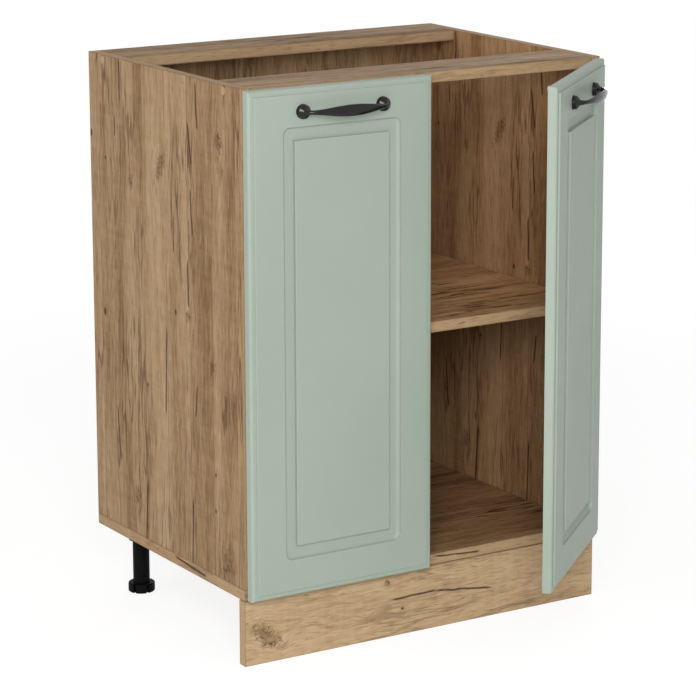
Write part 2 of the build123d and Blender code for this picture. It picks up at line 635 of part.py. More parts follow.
    # Hinges: a cup in the door, a pin through its lugs, and an arm on a plate in the cabinet
    for level, height in HINGE_HEIGHTS.items():
        rise = height - DOOR_MID_Z
        cup_centre = [(side * CUP_X, rise)]
        ear_points = [(side * CUP_SCREW_X, rise + i * CUP_SCREW_SPAN / 2) for i in (-1, 1)]
        swung = pivot_plane(side, OPENINGS[side], height)
        fixed = pivot_plane(side, 0, height)

        with BuildPart() as cup:
            rods(back, cup_centre, CUP_RADIUS, CUP_DEPTH)
            with BuildSketch(back):
                with Locations(*cup_centre):
                    Circle(CUP_FLANGE_RADIUS)
                with Locations((side * CUP_SCREW_X, rise)):
                    SlotCenterToCenter(CUP_SCREW_SPAN, CUP_EAR_WIDTH, rotation=90)
            extrude(amount=-CUP_FLANGE_THICKNESS)
            cavity_depth = CUP_DEPTH - CUP_WALL
            mouth = back.offset(-CUP_FLANGE_THICKNESS)
            mouth_depth = cavity_depth + CUP_FLANGE_THICKNESS
            rods(mouth, cup_centre, CUP_RADIUS - CUP_WALL, mouth_depth, Mode.SUBTRACT)
            lug_mid = (LUG_GAP + LUG_END) / 2
            with BuildSketch(back.offset(cavity_depth)):
                for i in (-1, 1):
                    with Locations((side * PIVOT_IN_DOOR, rise + i * lug_mid)):
                        Rectangle(2 * LUG_HALF, LUG_END - LUG_GAP)
                with Locations(*cup_centre):
                    Circle(CUP_RADIUS - CUP_WALL / 2, mode=Mode.INTERSECT)
            extrude(amount=-(cavity_depth - PIVOT_FROM_BACK + LUG_HALF))
            pin_bore = PIN_RADIUS + PIN_SEAT_CLEARANCE
            rods(swung.offset(-PIN_HALF), [(0, 0)], pin_bore, 2 * PIN_HALF, Mode.SUBTRACT)
            holes(mouth, ear_points, SCREW_RADIUS, CUP_FLANGE_THICKNESS)
        save(cup, f"{side_name}_{level}_hinge_cup")

        with BuildPart() as pin:
            rods(swung.offset(-PIN_HALF), [(0, 0)], PIN_RADIUS, 2 * PIN_HALF)
        save(pin, f"{side_name}_{level}_hinge_pin")

        arm_far = ARM_LAP + ARM_THICKNESS
        arm_end = ARM_LENGTH - PIVOT_Y
        arm_screws = side_points(ARM_SCREW_SETBACKS, height)
        arm_face = across_x(side * (INNER_HALF - PLATE_HEIGHT - ARM_THICKNESS))
        with BuildPart() as arm:
            rods(fixed.offset(-KNUCKLE_HALF), [(0, 0)], KNUCKLE_RADIUS, 2 * KNUCKLE_HALF)
            with BuildSketch(fixed.offset(-KNUCKLE_HALF)):
                with Locations((-side * arm_far / 2, -KNUCKLE_RADIUS / 2)):
                    Rectangle(arm_far, KNUCKLE_RADIUS)
            extrude(amount=2 * KNUCKLE_HALF)
            with BuildSketch(fixed.offset(-ARM_HALF)):
                with Locations((-side * (ARM_LAP + ARM_THICKNESS / 2), (arm_end - KNUCKLE_RADIUS) / 2)):
                    Rectangle(ARM_THICKNESS, arm_end + KNUCKLE_RADIUS)
            extrude(amount=2 * ARM_HALF)
            lip_start = ARM_FLANGE_START - PIVOT_Y
            for i in (-1, 1):
                with BuildSketch(fixed.offset(i * ARM_HALF)):
                    with Locations((-side * (ARM_LAP - ARM_FLANGE_DEPTH / 2), (arm_end + lip_start) / 2)):
                        Rectangle(ARM_FLANGE_DEPTH, arm_end - lip_start)
                extrude(amount=-i * ARM_FLANGE)
            running_bore = PIN_RADIUS + PIN_RUNNING_CLEARANCE
            rods(fixed.offset(-KNUCKLE_HALF), [(0, 0)], running_bore, 2 * KNUCKLE_HALF, Mode.SUBTRACT)
            holes(arm_face, arm_screws, SCREW_RADIUS, side * ARM_THICKNESS)
        save(arm, f"{side_name}_{level}_hinge_arm")

        inner_wall = across_x(side * INNER_HALF)
        with BuildPart() as plate:
            with BuildSketch(inner_wall):
                with Locations((PLATE_SCREW_SETBACK, height)):
                    SlotCenterToCenter(PLATE_SCREW_SPAN, PLATE_WING_WIDTH, rotation=90)
            extrude(amount=-side * PLATE_BASE)
            with BuildSketch(inner_wall):
                with Locations(((PLATE_RIB_START + PLATE_RIB_END) / 2, height)):
                    Rectangle(PLATE_RIB_END - PLATE_RIB_START, 2 * PLATE_RIB_HALF)
            extrude(amount=-side * PLATE_HEIGHT)
            holes(inner_wall, plate_screw_points(height), SCREW_RADIUS, -side * PLATE_BASE)
            holes(inner_wall, arm_screws, SCREW_RADIUS, -side * PLATE_HEIGHT)
        save(plate, f"{side_name}_{level}_hinge_plate")

# Screws of the hinge plates and arms, on both sides of the cabinet
with BuildPart() as hinge_plate_screws:
    for side in (LEFT, RIGHT):
        wing_face = across_x(side * (INNER_HALF - PLATE_BASE))
        for height in HINGE_HEIGHTS.values():
            points = plate_screw_points(height)
            pan_screws(wing_face, points, PLATE_BASE + PLATE_SCREW_DEPTH, facing=-side)
save(hinge_plate_screws, "hinge_plate_screws")

with BuildPart() as hinge_arm_screws:
    for side in (LEFT, RIGHT):
        arm_face = across_x(side * (INNER_HALF - PLATE_HEIGHT - ARM_THICKNESS))
        for height in HINGE_HEIGHTS.values():
            points = side_points(ARM_SCREW_SETBACKS, height)
            pan_screws(arm_face, points, ARM_THICKNESS + PLATE_HEIGHT, facing=-side)
save(hinge_arm_screws, "hinge_arm_screws")
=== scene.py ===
"""Looks of the kitchen base cabinet: materials, floor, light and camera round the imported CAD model."""
import math

import bpy
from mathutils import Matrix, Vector

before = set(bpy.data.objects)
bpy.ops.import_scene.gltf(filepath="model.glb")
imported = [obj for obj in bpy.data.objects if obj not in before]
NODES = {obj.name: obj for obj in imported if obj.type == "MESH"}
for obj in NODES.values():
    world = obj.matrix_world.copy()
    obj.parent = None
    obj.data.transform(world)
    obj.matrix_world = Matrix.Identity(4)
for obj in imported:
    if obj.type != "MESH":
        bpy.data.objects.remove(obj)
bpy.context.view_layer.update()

SCENE = bpy.context.scene
SCENE.view_settings.view_transform = "Standard"
X, Y, Z = 0, 1, 2
WHITE = (1.0, 1.0, 1.0, 1.0)

# Range that most of a noise texture's values lie in, and its middle
NOISE_LOW, NOISE_HIGH = 0.3, 0.7
NOISE_MIDDLE = 0.5

# An edge shows where the rounded normal departs this far from the true one, as the product of the two
EDGE_FULL, EDGE_NONE = 0.90, 0.995
EDGE_SAMPLES = 4


def linear(*rgb):
    """Linear colour of an sRGB colour given from 0 to 255."""
    values = []
    for channel in rgb:
        c = channel / 255
        values.append(c / 12.92 if c <= 0.04045 else ((c + 0.055) / 1.055) ** 2.4)
    return (*values, 1.0)


class Graph:
    """A node tree, with short calls for the nodes it needs."""

    def __init__(self, tree):
        self.tree = tree
        tree.nodes.clear()

    def add(self, kind, inputs=(), **settings):
        """Add a node, with settings on the node and values or links for its sockets."""
        node = self.tree.nodes.new(kind)
        for key, value in settings.items():
            setattr(node, key, value)
        for key, value in dict(inputs).items():
            self.put(node.inputs[key], value)
        return node

    def put(self, socket, value):
        """Set a socket to a number or colour, or link it to another socket."""
        if isinstance(value, bpy.types.NodeSocket):
            self.tree.links.new(value, socket)
        else:
            socket.default_value = value

    def split(self, vector):
        return self.add("ShaderNodeSeparateXYZ", {0: vector}).outputs

    def join(self, x, y, z):
        return self.add("ShaderNodeCombineXYZ", {0: x, 1: y, 2: z}).outputs[0]

    def stretched(self, vector, scale):
        return self.add("ShaderNodeMapping", {"Vector": vector, "Scale": scale}).outputs[0]

    def noise(self, vector, scale, detail=3.0, rough=0.5):
        inputs = {"Vector": vector, "Scale": scale, "Detail": detail, "Roughness": rough}
        return self.add("ShaderNodeTexNoise", inputs).outputs["Fac"]

    def math(self, operation, a, b=0.0, clamp=False):
        return self.add("ShaderNodeMath", {0: a, 1: b}, operation=operation, use_clamp=clamp).outputs[0]

    def minus(self, a, b, clamp=False):
        return self.math("SUBTRACT", a, b, clamp)

    def size(self, value):
        return self.math("ABSOLUTE", value)

    def over(self, value, limit):
        return self.math("GREATER_THAN", value, limit)

    def plus(self, *terms):
        total = terms[0]
        for term in terms[1:]:
            total = self.math("ADD", total, term)
        return total

    def times(self, *factors):
        total = factors[0]
        for factor in factors[1:]:
            total = self.math("MULTIPLY", total, factor)
        return total

    def squares(self, a, b):
        """Sum of two values' squares."""
        return self.plus(self.times(a, a), self.times(b, b))

    def most(self, values):
        """The largest of some values."""
        largest = values[0]
        for value in values[1:]:
            largest = self.math("MAXIMUM", largest, value)
        return largest

    def swing(self, noise, size):
        """A noise value's departure from its middle, scaled."""
        return self.times(self.minus(noise, NOISE_MIDDLE), size)

    def band(self, value, low, high, to_low=0.0, to_high=1.0):
        """Smooth ramp of a value from one pair of limits to another."""
        inputs = {"Value": value, "From Min": low, "From Max": high, "To Min": to_low, "To Max": to_high}
        return self.add("ShaderNodeMapRange", inputs, interpolation_type="SMOOTHSTEP").outputs[0]

    def fade(self, value, low, high):
        """Smooth fall from 1 to 0 between two limits."""
        return self.band(value, low, high, 1.0, 0.0)

    def spread(self, noise, to_low=0.0, to_high=1.0):
        """A noise value's usual range, brought to other limits."""
        return self.band(noise, NOISE_LOW, NOISE_HIGH, to_low, to_high)

    def ramp(self, value, *stops):
        node = self.add("ShaderNodeValToRGB", {0: value})
        elements = node.color_ramp.elements
        while len(elements) < len(stops):
            elements.new(0.5)
        for element, (place, colour) in zip(elements, stops):
            element.position = place
            element.color = colour
        return node.outputs[0]

    def mix(self, factor, a, b, blend="MIX"):
        inputs = {0: factor, 6: a, 7: b}
        return self.add("ShaderNodeMix", inputs, data_type="RGBA", blend_type=blend).outputs[2]

    def bump(self, height, strength, distance):
        inputs = {"Height": height, "Strength": strength, "Distance": distance}
        return self.add("ShaderNodeBump", inputs).outputs[0]

    def edges(self, radius):
        """Mask that is 1 along edges and 0 on flat faces."""
        rounded = self.add("ShaderNodeBevel", {"Radius": radius}, samples=EDGE_SAMPLES).outputs[0]
        true_normal = self.add("ShaderNodeNewGeometry").outputs["Normal"]
        match = self.add("ShaderNodeVectorMath", {0: rounded, 1: true_normal}, operation="DOT_PRODUCT")
        return self.fade(match.outputs["Value"], EDGE_FULL, EDGE_NONE)

    def seen_rays(self):
        """Mask of the rays that should meet a white background."""
        path = self.add("ShaderNodeLightPath").outputs
        return self.most([path["Is Camera Ray"], path["Is Glossy Ray"], path["Is Transmission Ray"]])


class Surface(Graph):
    """A material's node tree round one Principled shader."""

    def __init__(self, name):
        self.material = bpy.data.materials.new(name)
        self.material.use_nodes = True
        super().__init__(self.material.node_tree)
        self.shader = self.add("ShaderNodeBsdfPrincipled")
        self.output = self.add("ShaderNodeOutputMaterial", {"Surface": self.shader.outputs[0]})
        coordinates = self.add("ShaderNodeTexCoord").outputs
        self.position = coordinates["Object"]
        self.facing = coordinates["Normal"]

    def set(self, **values):
        """Set or link the shader's sockets, with _ for the spaces in their names."""
        for key, value in values.items():
            self.put(self.shader.inputs[key.replace("_", " ")], value)


# Camera at the photograph's place. The lens is long, and a small shift keeps the photograph's framing
CAMERA_PLACE = (-2.2213, -3.3853, 1.4006)
CAMERA_YAW = math.radians(32.547)
CAMERA_PITCH = math.radians(12.249)
CAMERA_SHIFT_X = -0.06
CAMERA_SHIFT_Y = -0.1
CAMERA_REACH = 100
IMAGE_SIZE = 696
FOCAL_PIXELS = 2928.0
SENSOR_WIDTH = 36
camera_data = bpy.data.cameras.new("camera")
camera_data.sensor_width = SENSOR_WIDTH
camera_data.lens = FOCAL_PIXELS / IMAGE_SIZE * SENSOR_WIDTH
camera_data.shift_x = CAMERA_SHIFT_X
camera_data.shift_y = CAMERA_SHIFT_Y
camera_data.clip_end = CAMERA_REACH
camera = bpy.data.objects.new("camera", camera_data)
SCENE.collection.objects.link(camera)
camera.location = CAMERA_PLACE
camera.rotation_euler = (math.pi / 2 - CAMERA_PITCH, 0, -CAMERA_YAW)
SCENE.camera = camera


# Oak decor: staves of knotty oak, printed on every board. Tones are a print's shade, middle and pale
# colours. The boards get a darker copy of the print as painted shade, and the plinth and the shelf get paler
# copies as painted light
SHADED_BOARD_TONES = (linear(119, 90, 60), linear(162, 132, 98), linear(188, 160, 125))
LIT_PLINTH_TONES = (linear(150, 119, 86), linear(193, 164, 127), linear(215, 188, 153))
LIT_SHELF_TONES = (linear(138, 106, 72), linear(184, 151, 112), linear(208, 178, 140))
TONE_STOPS = (0.22, 0.50, 0.78)
OAK_BAND = linear(194, 164, 128)
OAK_HEART = linear(98, 69, 42)
OAK_PORE = linear(86, 60, 37)
OAK_CRACK = linear(52, 32, 18)
# Painted shade: a darker, warmer tint multiplied over the faces inside the cabinet
INSIDE_SHADE_TINT = (1.0, 0.88, 0.80, 1.0)
STAVE_WIDTH = 0.0672
STAVE_START = 0.0145
STAVE_LAYER = 3.7
END_SHIFT = 2.0
FACING_LIMIT = 0.5

# Noise along the bent grain: scale, squeeze along the grain, shift from the other noises, detail, roughness
BROAD = (24.0, 0.07, 0.0, 3.0, 0.55)
STREAK = (115.0, 0.07, 2.0, 4.0, 0.65)
FLECKS = (300.0, 0.11, 5.0, 3.0, 0.70)
FINE = (560.0, 0.05, 4.0, 2.0, 0.50)
HEART = (95.0, 0.09, 7.0, 4.0, 0.70)
STRANDS = (40.0, 0.07, 17.0, 3.0, 0.60)
PORES = (1000.0, 0.04, 11.0, 1.0, 0.50)
SPECKS = (240.0, 0.16, 13.0, 2.0, 0.50)

# Noise over the straight board: scale, squeeze along the grain, shift from the other noises, detail
RIPPLE = (42.0, 0.45, 31.0, 2.0)
RAGGED = (130.0, 1.0, 37.0, 3.0)
PATCH = (8.0, 0.30, 3.0, 2.0)
VEINED = (11.0, 0.35, 29.0, 2.0)
WOBBLE = (60.0, 0.6, 19.0, 2.0)
WARP = (170.0, 1.0, 43.0, 2.0)

# Noise with coordinates of its own: scale, squeeze, shift where it has one
WANDER_SCALE, WANDER_SQUEEZE = 9.0, 0.16
SAW_SCALE, SAW_SQUEEZE, SAW_SHIFT = 130.0, 0.12, 41.0
OPEN_SCALE, OPEN_SQUEEZE, OPEN_SHIFT = 7.0, 0.6, 23.0
NET_SCALE, NET_SQUEEZE = 190.0, 0.5
SIMPLE_DETAIL = 2.0

# How far the grain lines leave the straight, in metres
WANDER_SIZE = 0.040
RIPPLE_SIZE = 0.012
WOBBLE_SIZE = 0.004
WARP_SIZE = 0.012
JOINT_WOBBLE = 0.25

# How strongly each noise moves the tone
BROAD_TONE = 0.85
STREAK_TONE = 0.46
FLECK_TONE = 0.50
FINE_TONE = 0.45
SAW_TONE = 0.14
STAVE_TONE = 0.16

# How strongly each detail covers the tone
BAND_COVER = 0.6
BAND_PLAIN = 0.7
HEART_COVER = 0.66
VEIN_COVER = 0.78
PORE_COVER = 0.34
SPECK_COVER = 0.50
GAP_COVER = 0.85
EDGE_SHADE_COVER = 0.60
KNOT_COVER = 0.42
SHARD_COVER = 0.80

# Limits between which each detail comes in or fades out
PATCH_RANGE = (0.47, 0.66)
HEART_RANGE = (0.50, 0.68)
VEIN_RANGE = (0.0, 0.030)
VEINED_RANGE = (0.43, 0.60)
PORE_RANGE = (0.56, 0.70)
SPECK_RANGE = (0.64, 0.74)
SPECKED_RANGE = (0.40, 0.62)
OPEN_RANGE = (0.48, 0.66, 0.12, 0.8)
JOINT_RANGE = (0.006, 0.018)
EDGE_SHADE_RADIUS = 0.0028
KNOT_RANGE = (0.05, 0.9)
NET_RANGE = (0.0, 0.10)
NET_FLECKS = (0.34, 0.52)
SHARD_RANGE = (0.15, 0.45)
CRACK_START = (0.0, 0.15)
CRACK_END = (0.9, 1.0)
CRACK_SOLID, CRACK_CLEAR = 0.35, 1.15
HOLE_RANGE = (0.3, 1.1)
HOLE_SQUEEZE = 0.6

# How far a knot bends the grain round it, and how fast its heart ends
KNOT_REACH = -0.30
KNOT_BEND = -0.45
KNOT_FALL = -1.1
RAGGED_FALL = (0.5, 1.7)

# Relief of the print, and its gloss
FINE_RELIEF = 0.5
PORE_RELIEF = -0.5
GAP_RELIEF = -1.2
SHARD_RELIEF = -0.8
OAK_BUMP = (0.35, 0.0004)
OAK_GLOSS = (0.2, 0.8, 0.66, 0.52)
OAK_SPECULAR = 0.10


class Grain:
    """Grain coordinates of a board: along the grain, and across it, wrapped round the board's edges."""

    def __init__(self, g, along, face):
        across = 3 - along - face
        place = g.split(g.position)
        facing = g.split(g.facing)
        on_edge = g.over(g.size(facing[across]), FACING_LIMIT)
        on_end = g.over(g.size(facing[along]), FACING_LIMIT)
        self.banded = g.plus(on_edge, on_end)
        turned = g.times(on_end, g.plus(END_SHIFT, g.minus(place[across], place[along])))
        self.along = g.plus(place[along], turned)
        kept = g.times(place[across], g.minus(1.0, on_end))
        self.across = g.plus(kept, g.times(place[face], self.banded))


def knot_reach(g, grain, knot):
    """How far a point lies from a knot, in knot sizes, squared, and its distance across."""
    along, across, length, width, tilt = knot
    dv = g.minus(grain.along, along)
    du = g.minus(grain.across, across)
    turn = math.radians(tilt)
    lengthwise = g.plus(g.times(dv, math.cos(turn) / length), g.times(du, math.sin(turn) / length))
    sideways = g.plus(g.times(du, math.cos(turn) / width), g.times(dv, -math.sin(turn) / width))
    return g.squares(lengthwise, sideways), du


def crack_mask(g, grain, wobble, crack):
    """Thin dark line from one point to another, tapered at its ends."""
    start, start_across, end, end_across, width = crack
    t = g.times(g.minus(grain.along, start), 1 / (end - start))
    line = g.plus(g.times(t, end_across - start_across), start_across)
    gap = g.size(g.minus(g.plus(grain.across, wobble), line))
    ends = g.times(g.band(t, *CRACK_START), g.fade(t, *CRACK_END))
    return g.times(g.fade(gap, width * CRACK_SOLID, width * CRACK_CLEAR), ends)


def hole_mask(g, grain, hole):
    """Small dark pinhole, longer along the grain."""
    along, across, radius = hole
    dv = g.times(g.minus(grain.along, along), HOLE_SQUEEZE / radius)
    du = g.times(g.minus(grain.across, across), 1 / radius)
    return g.fade(g.squares(dv, du), *HOLE_RANGE)


def oak(name, along, face, seed, knots=(), cracks=(), holes=(), staves=1.0, tones=SHADED_BOARD_TONES,
        inside=(), figure=1.0):
    """Oak decor with grain along one axis, on a board that lies across the face axis.

    Knots are (along, across, length, width, tilt), cracks are (along, across, along, across, width)
    and holes are (along, across, radius), in metres and degrees. staves is 1 for a board of staves and
    0 for a plain one. inside gives the directions along the face axis that look into the cabinet; those
    faces get painted shade, a darker and warmer tint.
    figure is the strength of the streaks.
    """
    g = Surface(name)
    grain = Grain(g, along, face)
    u = grain.across
    v = grain.along

    def over_board(scale, squeeze, shift, detail):
        return g.noise(g.join(u, g.times(v, squeeze), seed + shift), scale, detail)

    # Staves, each with its own tone and its own stretch of grain
    stave_place = g.times(g.minus(u, STAVE_START), 1 / STAVE_WIDTH)
    stave = g.times(g.math("FLOOR", stave_place), staves)
    draw = g.add("ShaderNodeTexWhiteNoise", {"W": g.plus(stave, seed)}, noise_dimensions="1D")
    layer = g.plus(g.times(stave, STAVE_LAYER), seed)

    # Grain lines wander, ripple and swell round each knot
    wander = g.noise(g.join(u, g.times(v, WANDER_SQUEEZE), layer), WANDER_SCALE, SIMPLE_DETAIL)
    ripple = over_board(*RIPPLE)
    bent = g.plus(u, g.swing(wander, WANDER_SIZE), g.swing(ripple, RIPPLE_SIZE))
    ragged = g.spread(over_board(*RAGGED), *RAGGED_FALL)
    knot_cores = []
    for knot in knots:
        reach, du = knot_reach(g, grain, knot)
        near = g.math("EXPONENT", g.times(reach, KNOT_REACH))
        bent = g.plus(bent, g.times(du, near, KNOT_BEND))
        knot_cores.append(g.math("EXPONENT", g.times(reach, ragged, KNOT_FALL)))

    def along_grain(scale, squeeze, shift, detail, rough):
        return g.noise(g.join(bent, g.times(v, squeeze), g.plus(layer, shift)), scale, detail, rough)

    # Tone from broad bands down to fine fibres, with faint saw marks across
    flecks = along_grain(*FLECKS)
    fine = along_grain(*FINE)
    saw = g.noise(g.join(v, g.times(u, SAW_SQUEEZE), seed + SAW_SHIFT), SAW_SCALE, SIMPLE_DETAIL)
    tone = g.plus(
        0.5,
        g.swing(along_grain(*BROAD), BROAD_TONE * figure),
        g.swing(along_grain(*STREAK), STREAK_TONE * figure),
        g.swing(flecks, FLECK_TONE),
        g.swing(fine, FINE_TONE),
        g.swing(saw, SAW_TONE),
        g.swing(draw.outputs["Value"], STAVE_TONE),
    )
    colour = g.ramp(tone, *zip(TONE_STOPS, tones))

    # Edge bands are paler and plainer than the faces
    colour = g.mix(g.times(grain.banded, BAND_COVER), colour, OAK_BAND)
    plain = g.minus(1.0, g.times(grain.banded, BAND_PLAIN), clamp=True)

    # Dark heartwood streaks in patches
    patch = g.band(over_board(*PATCH), *PATCH_RANGE)
    heart = g.band(along_grain(*HEART), *HEART_RANGE)
    colour = g.mix(g.times(heart, patch, plain, HEART_COVER * figure), colour, OAK_HEART)

    # Wavy dark veins, like contour lines of the grain
    veins = g.fade(g.size(g.minus(along_grain(*STRANDS), NOISE_MIDDLE)), *VEIN_RANGE)
    veined = g.band(over_board(*VEINED), *VEINED_RANGE)
    colour = g.mix(g.times(veins, veined, plain, VEIN_COVER * figure), colour, OAK_PORE)

    # Fine pores all over, and short darker specks here and there
    pores = g.band(along_grain(*PORES), *PORE_RANGE)
    specks = g.times(g.band(along_grain(*SPECKS), *SPECK_RANGE), g.band(ripple, *SPECKED_RANGE))
    colour = g.mix(g.times(pores, PORE_COVER), colour, OAK_PORE)
    colour = g.mix(g.times(specks, SPECK_COVER), colour, OAK_PORE)

    # Joints between staves, open in places, and drying cracks
    wobble = g.swing(over_board(*WOBBLE), WOBBLE_SIZE)
    joint_place = g.math("FRACT", g.plus(stave_place, g.times(wobble, JOINT_WOBBLE / STAVE_WIDTH)))
    joint_gap = g.math("MINIMUM", joint_place, g.minus(1.0, joint_place))
    opening = g.noise(g.join(stave, g.times(v, OPEN_SQUEEZE), seed + OPEN_SHIFT), OPEN_SCALE, SIMPLE_DETAIL)
    lines = [g.times(g.fade(joint_gap, *JOINT_RANGE), g.band(opening, *OPEN_RANGE), staves)]
    lines += [crack_mask(g, grain, wobble, crack) for crack in cracks]
    lines += [hole_mask(g, grain, hole) for hole in holes]
    gaps = g.most(lines)
    colour = g.mix(g.times(gaps, GAP_COVER), colour, OAK_CRACK)

    # Painted shade: dark lines in the heartwood colour along every edge of the board
    colour = g.mix(g.times(g.edges(EDGE_SHADE_RADIUS), EDGE_SHADE_COVER), colour, OAK_HEART)

    # Knots: darker wood with a net of rough cracks
    relief = g.plus(g.times(fine, FINE_RELIEF), g.times(pores, PORE_RELIEF), g.times(gaps, GAP_RELIEF))
    if knot_cores:
        core = g.most(knot_cores)
        warp = g.swing(over_board(*WARP), WARP_SIZE)
        net_place = g.join(g.plus(u, warp), g.times(g.plus(v, warp), NET_SQUEEZE), seed)
        net_inputs = {"Vector": net_place, "Scale": NET_SCALE}
        net = g.add("ShaderNodeTexVoronoi", net_inputs, feature="DISTANCE_TO_EDGE").outputs["Distance"]
        shards = g.times(g.fade(net, *NET_RANGE), g.band(flecks, *NET_FLECKS), g.band(core, *SHARD_RANGE))
        colour = g.mix(g.times(g.band(core, *KNOT_RANGE), KNOT_COVER), colour, OAK_HEART)
        colour = g.mix(g.times(shards, SHARD_COVER), colour, OAK_CRACK)
        relief = g.plus(relief, g.times(shards, SHARD_RELIEF))

    # Painted shade: faces that look into the cabinet are drawn darker and warmer
    for side in inside:
        inner = g.over(g.times(g.split(g.facing)[face], side), FACING_LIMIT)
        colour = g.mix(inner, colour, INSIDE_SHADE_TINT, "MULTIPLY")

    g.set(Base_Color=colour, Roughness=g.band(tone, *OAK_GLOSS))
    g.set(Specular_IOR_Level=OAK_SPECULAR, Normal=g.bump(relief, *OAK_BUMP))
    return g.material


def paint(node, material):
    """Give a CAD node one material in place of its plain one."""
    slots = NODES[node].data.materials
    slots.clear()
    slots.append(material)


# Both side panels show the same print, as the photograph does
SIDE_KNOTS = [
    (0.678, 0.229, 0.026, 0.009, -30),
    (0.138, 0.044, 0.019, 0.014, 20),
    (0.412, 0.084, 0.012, 0.006, 0),
    (0.172, 0.314, 0.014, 0.008, 0),
    (0.641, 0.321, 0.011, 0.007, 0),
    (0.473, 0.153, 0.009, 0.007, 0),
    (0.735, 0.060, 0.013, 0.010, 15),
]
SIDE_CRACKS = [
    (0.455, 0.216, 0.312, 0.224, 0.0022),
    (0.206, 0.282, 0.105, 0.290, 0.0027),
    (0.215, 0.145, 0.105, 0.149, 0.0022),
    (0.820, 0.350, 0.752, 0.351, 0.0018),
    (0.560, 0.152, 0.484, 0.151, 0.0024),
    (0.815, 0.124, 0.742, 0.120, 0.0024),
    (0.756, 0.149, 0.690, 0.137, 0.0028),
    (0.662, 0.142, 0.590, 0.137, 0.0024),
    (0.380, 0.128, 0.330, 0.134, 0.0024),
    (0.732, 0.367, 0.700, 0.368, 0.0020),
    (0.300, 0.376, 0.210, 0.366, 0.0022),
    (0.615, 0.192, 0.556, 0.194, 0.0018),
]
SIDE_HOLES = [
    (0.696, 0.442, 0.0040),
    (0.665, 0.398, 0.0022),
    (0.473, 0.189, 0.0030),
    (0.348, 0.277, 0.0022),
    (0.207, 0.079, 0.0024),
    (0.260, 0.078, 0.0022),
    (0.432, 0.409, 0.0042),
]
SIDE_SEED = 1.3
oak_left = oak("oak_left", Z, X, SIDE_SEED, SIDE_KNOTS, SIDE_CRACKS, SIDE_HOLES, inside=(1,))
oak_right = oak("oak_right", Z, X, SIDE_SEED, SIDE_KNOTS, SIDE_CRACKS, SIDE_HOLES, inside=(-1,))

PLINTH_KNOTS = [
    (-0.266, 0.041, 0.029, 0.013, -42),
    (-0.065, 0.081, 0.006, 0.004, 0),
]
PLINTH_CRACKS = [
    (-0.062, 0.0550, 0.022, 0.0565, 0.0018),
    (0.012, 0.0565, 0.120, 0.0430, 0.0020),
]
PLINTH_HOLES = [(-0.039, 0.039, 0.0020)]
# The plinth takes a paler copy of the print, as painted light
oak_plinth = oak("oak_plinth", X, Y, 8.6, PLINTH_KNOTS, PLINTH_CRACKS, PLINTH_HOLES,
                 staves=0.0, tones=LIT_PLINTH_TONES, figure=0.5)

BOTTOM_CRACKS = [
    (END_SHIFT + 0.208, 0.1085, END_SHIFT + 0.108, 0.1025, 0.0024),
    (0.010, 0.1085, 0.098, 0.1020, 0.0016),
]
oak_bottom = oak("oak_bottom", X, Z, 4.1, cracks=BOTTOM_CRACKS, inside=(1,), figure=1.35)

SHELF_KNOTS = [(0.172, 0.124, 0.026, 0.006, -12)]
# The shelf takes a paler copy of the print, as painted light
oak_shelf = oak("oak_shelf", X, Z, 15.2, SHELF_KNOTS, tones=LIT_SHELF_TONES, inside=(1, -1), figure=1.35)
oak_rails = oak("oak_rails", X, Z, 21.7, figure=1.2)
oak_back = oak("oak_back", Z, Y, 12.9, figure=0.75)

paint("left_side", oak_left)
paint("right_side", oak_right)
paint("plinth", oak_plinth)
paint("bottom_panel", oak_bottom)
paint("shelf", oak_shelf)
paint("front_rail", oak_rails)
paint("rear_rail", oak_rails)
paint("back_panel", oak_back)


SAGE = linear(167, 179, 166)
SAGE_SHADE = linear(162, 174, 161)
SAGE_EDGE_HIGHLIGHT = linear(186, 198, 185)


def sage(name):
    """Sage film on the doors, with a painted highlight: drawn a little paler over the moulded edges."""
    g = Surface(name)
    cloud = g.noise(g.position, 3.0, 2.0)
    grain = g.noise(g.position, 900.0, 2.0)
    smear = g.noise(g.position, 38.0, 3.0)
    colour = g.mix(g.spread(cloud), SAGE, SAGE_SHADE)
    # Painted highlight: the film is drawn paler along the moulded edges
    colour = g.mix(g.times(g.edges(0.0012), 0.35), colour, SAGE_EDGE_HIGHLIGHT)
    rough = g.plus(g.spread(grain, 0.42, 0.50), g.swing(smear, 0.10))
    g.set(Base_Color=colour, Roughness=rough, Specular_IOR_Level=0.28)
    g.set(Normal=g.bump(grain, 0.06, 0.0002))
    return g.material


def black(name, rgb, worn, rough, peel_scale, peel, specular):
    """Black coat or plastic with a fine orange peel, rubbed paler at the edges."""
    g = Surface(name)
    orange_peel = g.noise(g.position, peel_scale, 3.0)
    wear = g.noise(g.position, 90.0, 3.0)
    colour = g.mix(g.spread(wear), linear(*rgb), linear(*[c + 7 for c in rgb]))
    colour = g.mix(g.times(g.edges(0.0008), g.band(wear, 0.35, 0.6), 0.5), colour, linear(*worn))
    g.set(Base_Color=colour, Roughness=g.spread(wear, *rough))
    g.set(Specular_IOR_Level=specular, Normal=g.bump(orange_peel, peel, 0.0003))
    return g.material


def steel(name, rgb, rough):
    """Plated steel with fine brushing and faint clouds."""
    g = Surface(name)
    brushed = g.noise(g.stretched(g.position, (1, 1, 0.05)), 900.0, 2.0)
    cloud = g.noise(g.position, 60.0, 2.0)
    colour = g.mix(g.spread(cloud), linear(*rgb), linear(*[c - 18 for c in rgb]))
    g.set(Base_Color=colour, Metallic=1.0, Roughness=g.spread(brushed, *rough))
    g.set(Normal=g.bump(brushed, 0.05, 0.0002))
    return g.material


def speckled(name, rgb, scale, depth, rough):
    """Plain moulded or turned material with a soft speckle."""
    g = Surface(name)
    speckle = g.noise(g.position, scale, 3.0)
    colour = g.mix(g.spread(speckle), linear(*rgb), linear(*[c - depth for c in rgb]))
    g.set(Base_Color=colour, Roughness=g.spread(speckle, *rough))
    g.set(Normal=g.bump(speckle, 0.05, 0.0002))
    return g.material


